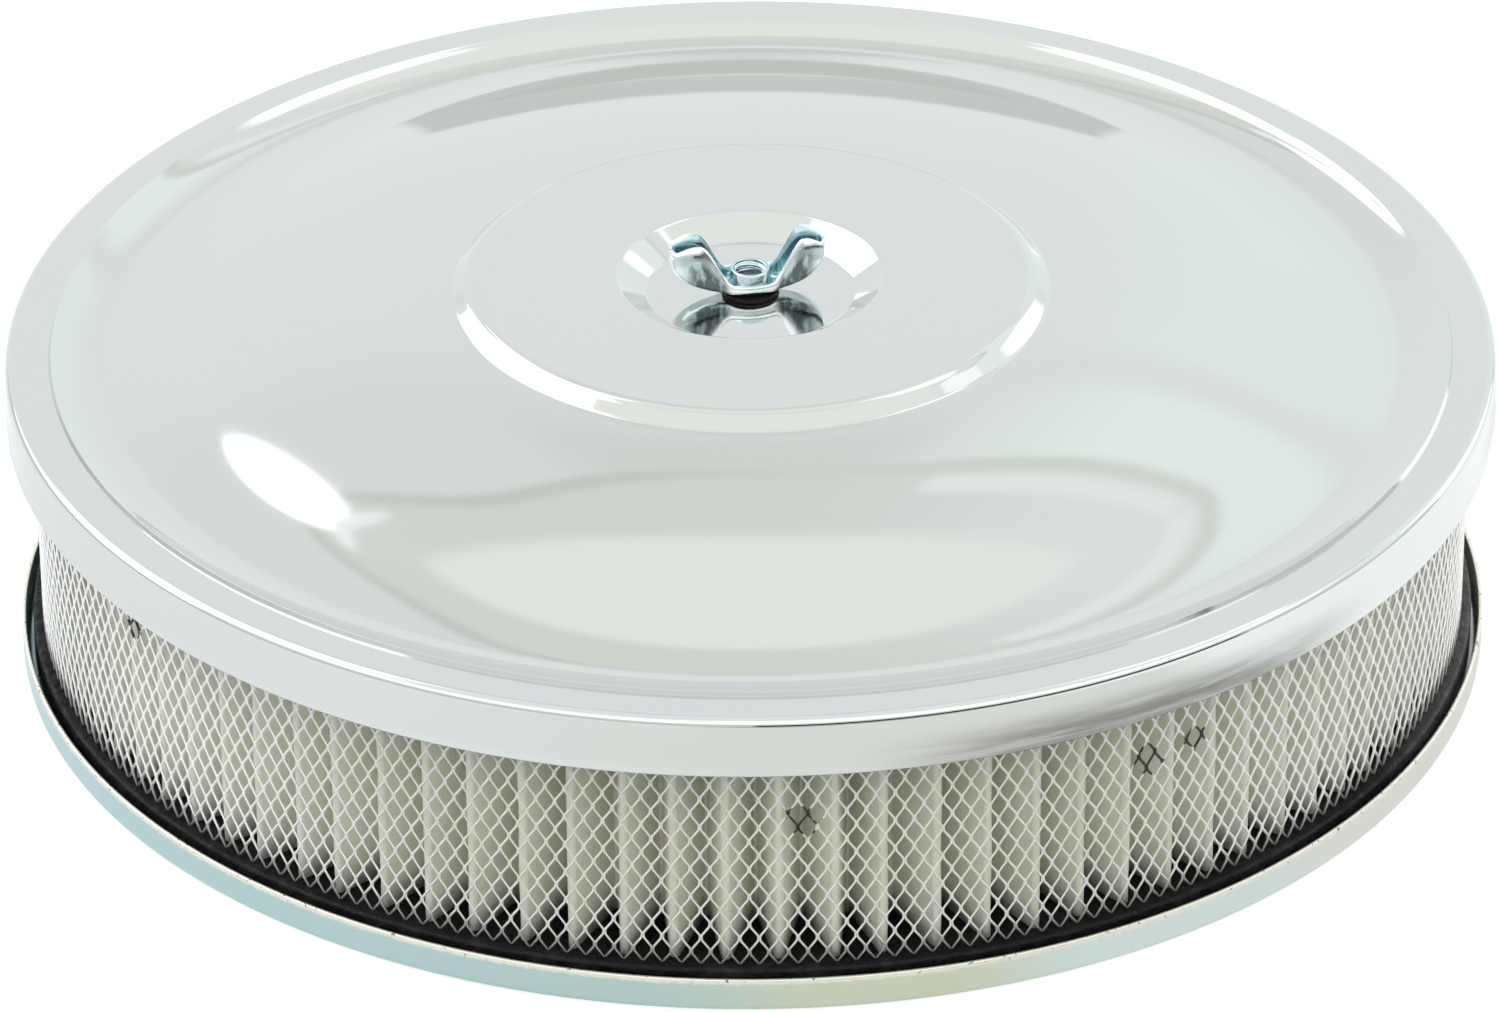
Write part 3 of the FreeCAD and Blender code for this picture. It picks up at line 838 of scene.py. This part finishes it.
def smooth(value, low, high):
    t = min(1.0, max(0.0, (value - low) / (high - low)))
    return t * t * (3 - 2 * t)


def boat_half_width(x):
    """Half the nut's width at its upper edge, front to back, at x along the wings."""
    middle = 6.7 * math.sqrt(1 - (min(x, 8.0) / 9.6) ** 2)
    wing = 4.1 - 0.8 * smooth(x, 13.0, WING_TIP)
    closing = math.sqrt(max(0.0, 1 - (max(0.0, x - 17.9) / (WING_TIP - 17.9)) ** 2))
    return (middle + (wing - middle) * smooth(x, WING_START, 9.0)) * closing


def boat_keel(x):
    """Height of the nut's underside at x: flat on the washer, then a rounded rise."""
    curve = 10.4 * (1 - math.sqrt(1 - (min(x, WING_TIP) / (WING_TIP + 0.05)) ** 2.6))
    return max(0.0, curve - 0.25)


def boat_rim(x):
    """Height of the nut's upper edge at x: low wall, rise, rounded wing, falling tip."""
    high = nut_high.z - nut_low.z
    rise = (high - WALL_HEIGHT) * smooth(x, WING_START, 13.2)
    return WALL_HEIGHT + rise - 1.9 * smooth(x, 13.8, WING_TIP + 0.6)


def boat_point(x, across, inset):
    """A point of the shell: across runs -1 at the front edge, 0 on the keel, 1 at the back edge.

    Both wings stand a little to the left of the collar.
    """
    away = abs(x)
    keel, rim = boat_keel(away) + inset, boat_rim(away)
    half = max(0.12, boat_half_width(away) - inset)
    angle = across * math.pi / 2
    power = 0.45
    share = 1 - abs(math.cos(angle)) ** power
    lean = 0.88
    y = half * (lean + (1 - lean) * share) * math.copysign(abs(math.sin(angle)) ** power, across)
    along = x * (1 - inset / WING_TIP * 0.9) - WING_SHIFT * smooth(away, 10.0, WING_TIP)
    return along, y, nut_low.z + keel + (max(rim, keel) - keel) * share


def nut_painted_reflection(x, across):
    """How strongly a dark reflection is painted outside: 1 on the flat face of each wing, fading to 0 at
    its edges.
    """
    away = abs(x)
    flat = smooth(away, 5.0, 7.0) * smooth(away, 17.2, 13.0)
    face = smooth(abs(across), 0.12, 0.3) * smooth(abs(across), 0.99, 0.93)
    return flat * face


def make_wing_nut():
    """The stamped shell with both wings and sheared edges, and the threaded collar in its floor."""
    long_steps, cross_steps = 96, 40
    verts, faces, painted_dark_reflection, inside = [], [], [], []
    for inset in (0.0, NUT_SHEET):
        for i in range(long_steps + 1):
            x = WING_TIP * math.sin((i / long_steps - 0.5) * math.pi)
            for j in range(cross_steps + 1):
                across = 2 * j / cross_steps - 1
                verts.append(boat_point(x, across, inset))
                painted_dark_reflection.append(0.0 if inset else nut_painted_reflection(x, across))
                inside.append(1.0 if inset else 0.0)
    row = cross_steps + 1
    shell = (long_steps + 1) * row
    for side in range(2):
        for i in range(long_steps):
            for j in range(cross_steps):
                a = side * shell + i * row + j
                faces.append((a, a + 1, a + row + 1, a + row))
    edge = [i * row for i in range(long_steps)]
    edge += [long_steps * row + j for j in range(cross_steps)]
    edge += [i * row + cross_steps for i in range(long_steps, 0, -1)]
    edge += [j for j in range(cross_steps, 0, -1)]
    rim_start = len(faces)
    for k, a in enumerate(edge):
        b = edge[(k + 1) % len(edge)]
        faces.append((a, b, shell + b, shell + a))
    rim_end = len(faces)

    base, top = nut_low.z + 0.3, nut_low.z + 5.5

    def outline(angle):
        return [(5.3, base), (5.3, base + 1.6), (4.95, base + 2.2), (4.85, top - 0.25), (4.6, top)]

    collar = threaded_sleeve(outline, base, top)
    painted_dark_reflection += [0.0] * len(collar[0])
    inside += [0.4] * len(collar[0])
    verts, faces = joined((verts, faces), collar)
    c, s = math.cos(WING_TURN), math.sin(WING_TURN)
    verts = [(x * c - y * s, x * s + y * c, z) for x, y, z in verts]
    piece = add_piece("wing_nut_shell", verts, faces, "wing_nut", "wing_nut", nut_zinc)
    piece.data.materials.append(nut_edge)
    for k in range(rim_start, rim_end):
        piece.data.polygons[k].use_smooth = False
        piece.data.polygons[k].material_index = 1
    for name, values in (("painted_dark_reflection", painted_dark_reflection), ("inside", inside)):
        piece.data.attributes.new(name, "FLOAT", "POINT").data.foreach_set("value", values)


make_stud()
make_lock_nut()
make_washer()
make_wing_nut()


# ---- studio --------------------------------------------------------------------------------------

FLOOR_LEVEL = -0.0002


def make_floor():
    """A white disc wider than the view. It glows: white to the camera, and tinted in reflections."""
    radius = 1.6
    steps = 96
    angles = [TAU * k / steps for k in range(steps)]
    verts = [(radius * math.cos(a), radius * math.sin(a), FLOOR_LEVEL) for a in angles]
    mesh = bpy.data.meshes.new("floor")
    mesh.from_pydata(verts, [], [tuple(range(steps))])
    floor = bpy.data.objects.new("floor", mesh)
    bpy.context.scene.collection.objects.link(floor)

    made = bpy.data.materials.new("floor_paper")
    made.use_nodes = True
    g = Graph(made.node_tree)
    seen = g.add("ShaderNodeLightPath").outputs["Is Camera Ray"]
    diffuse = g.add("ShaderNodeBsdfDiffuse", {"Color": (0.36, 0.36, 0.35, 1.0)})
    across, deep, _ = g.axes()
    tint = g.blend(g.step(across, -0.25, 0.05), (0.53, 0.565, 0.59), (0.48, 0.49, 0.465))
    tint = g.blend(g.step(across, 0.2, 0.235), tint, (0.72, 0.73, 0.75))
    dark = g.math("MULTIPLY", g.step(deep, -0.47, -0.52), g.step(across, -0.15, 0.05))
    tint = g.blend(dark, tint, (0.02, 0.02, 0.02))
    color = g.blend(seen, tint, (0.75, 0.75, 0.76))
    glow = g.add("ShaderNodeEmission", {"Color": color, "Strength": 1.0})
    both = g.add("ShaderNodeAddShader", {0: diffuse.outputs[0], 1: glow.outputs[0]})
    g.add("ShaderNodeOutputMaterial", {"Surface": both.outputs[0]})
    mesh.materials.append(made)


def make_world():
    """A white studio tent: a back wall, a folded ceiling, soft boxes at both sides and a bright front.

    Directions are in degrees. An azimuth of 0 is behind the object, and 180 is towards the camera.
    """
    world = bpy.data.worlds.new("studio")
    bpy.context.scene.world = world
    world.use_nodes = True
    g = Graph(world.node_tree)
    direction = g.add("ShaderNodeTexCoord").outputs["Generated"]
    x, y, z = g.axes(direction)
    elevation = g.math("MULTIPLY", g.math("ARCSINE", z), 180 / math.pi)
    azimuth = g.math("MULTIPLY", g.math("ARCTAN2", x, y), 180 / math.pi)
    aside = g.math("ABSOLUTE", azimuth)

    def near(value, centre, half, edge):
        """1 where value is within half of centre, falling to 0 over edge on each side."""
        away = g.math("ABSOLUTE", g.math("SUBTRACT", value, centre))
        return g.step(away, half - edge / 2, half + edge / 2, 1.0, 0.0)

    def box(az, half_az, el, half_el, edge=1.5):
        return g.math("MULTIPLY", near(azimuth, az, half_az, edge), near(elevation, el, half_el, edge))

    def oval(az, half_az, el, half_el, edge=0.3):
        """Like box, with an elliptical outline."""
        across = g.math("DIVIDE", g.math("SUBTRACT", azimuth, az), half_az)
        up = g.math("DIVIDE", g.math("SUBTRACT", elevation, el), half_el)
        away = g.math("ADD", g.math("MULTIPLY", across, across), g.math("MULTIPLY", up, up))
        return g.step(away, 1.0 - edge, 1.0 + edge, 1.0, 0.0)

    wall, wall_left, wall_right = (0.97, 1.005, 1.03), (0.93, 0.963, 0.978), (1.06, 1.13, 1.145)
    olive, ceiling_edge, edge_right = (0.87, 0.886, 0.87), (0.885, 0.90, 0.88), (0.97, 0.995, 0.995)
    right = g.step(azimuth, 2.0, 18.0)
    fold = g.math("MULTIPLY", near(azimuth, -15.0, 7.0, 14.0), 4.2)
    rippled = g.math("SUBTRACT", elevation, fold)

    light = g.blend(g.step(azimuth, 6.0, 16.0), wall, (1.0, 1.065, 1.08))
    light = g.blend(g.step(elevation, 28.0, 36.0), light, g.blend(right, wall_left, wall_right))
    light = g.blend(box(-1.0, 6.0, 42.0, 5.0, 5.0), light, olive)
    line = g.blend(g.step(azimuth, -8.0, 4.0), (0.76, 0.775, 0.735), (0.86, 0.87, 0.84))
    light = g.blend(g.step(rippled, 42.2, 43.0), light, line)
    light = g.blend(g.step(rippled, 43.6, 44.6), light, g.blend(right, ceiling_edge, edge_right))
    light = g.blend(box(17.0, 9.0, 45.8, 1.0, 0.8), light, (1.05, 1.09, 1.09))
    light = g.blend(box(17.0, 12.0, 33.5, 1.5, 3.0), light, (0.945, 0.98, 0.985))
    light = g.blend(g.step(elevation, 51.8, 54.2), light, (1.05, 1.07, 1.05))
    light = g.blend(g.step(elevation, 66.0, 74.0), light, (1.0, 1.02, 1.01))
    light = g.blend(box(0.4, 7.5, -1.0, 5.2, 0.5), light, (0.68, 0.72, 0.72))

    towards_camera = g.step(aside, 75.0, 85.0)
    front = g.blend(g.step(elevation, 3.0, 9.0), (0.6, 0.61, 0.61), (0.84, 0.86, 0.87))
    front = g.blend(g.step(elevation, 25.0, 28.0), front, (1.6, 1.6, 1.6))
    top = g.math("ADD", g.math("MULTIPLY", aside, 0.23), 28.0)
    front = g.blend(g.step(g.math("SUBTRACT", elevation, top), -1.0, 1.0), front, (1.07, 1.08, 1.06))
    light = g.blend(towards_camera, light, front)
    sides = g.math("MULTIPLY", g.step(aside, 30.0, 40.0), g.step(elevation, 8.0, 14.0, 1.0, 0.0))
    light = g.blend(sides, light, (0.7, 0.73, 0.74))
    for place, color in (
        (box(143.0, 37.0, 1.25, 9.75, 2.5), (0.04, 0.04, 0.04)),
        (box(-63.0, 27.0, 40.0, 24.0), (2.3, 2.32, 2.35)),
        (box(-35.0, 6.0, 51.0, 13.0), (2.3, 2.32, 2.35)),
        (oval(-25.7, 2.5, 40.3, 6.3, 0.3), (2.0, 2.02, 2.05)),
        (oval(-24.5, 2.2, 47.4, 0.7, 0.6), (1.2, 1.22, 1.24)),
        (box(46.0, 18.0, 57.5, 7.0, 2.5), (1.6, 1.62, 1.65)),
        (box(49.5, 12.5, 17.0, 15.0, 3.0), (1.6, 1.62, 1.65)),
        (box(74.0, 8.0, 43.0, 6.0, 1.0), (1.3, 1.33, 1.35)),
    ):
        light = g.blend(place, light, color)
    seen = g.add("ShaderNodeLightPath").outputs["Is Camera Ray"]
    color = g.blend(seen, light, (1.0, 1.0, 1.0))
    background = g.add("ShaderNodeBackground", {"Color": color, "Strength": 1.0})
    g.add("ShaderNodeOutputWorld", {"Surface": background.outputs[0]})


def make_camera():
    """Above the front, thirty degrees down, with a long lens, held a third of a degree off level."""
    pitch = math.radians(30)
    roll = math.radians(-0.35)
    distance = 2.1333
    aim = Vector((-0.0004, 0.0, 0.03035))
    data = bpy.data.cameras.new("camera")
    data.lens = 209.3
    data.sensor_width = 36.0
    data.clip_end = 60.0
    camera = bpy.data.objects.new("camera", data)
    bpy.context.scene.collection.objects.link(camera)
    camera.location = aim + Vector((0, -math.cos(pitch), math.sin(pitch))) * distance
    camera.rotation_euler = (math.pi / 2 - pitch, 0, 0)
    camera.rotation_euler.rotate_axis("Z", roll)
    bpy.context.scene.camera = camera


make_floor()
make_world()
make_camera()
bpy.context.scene.view_settings.view_transform = "Standard"
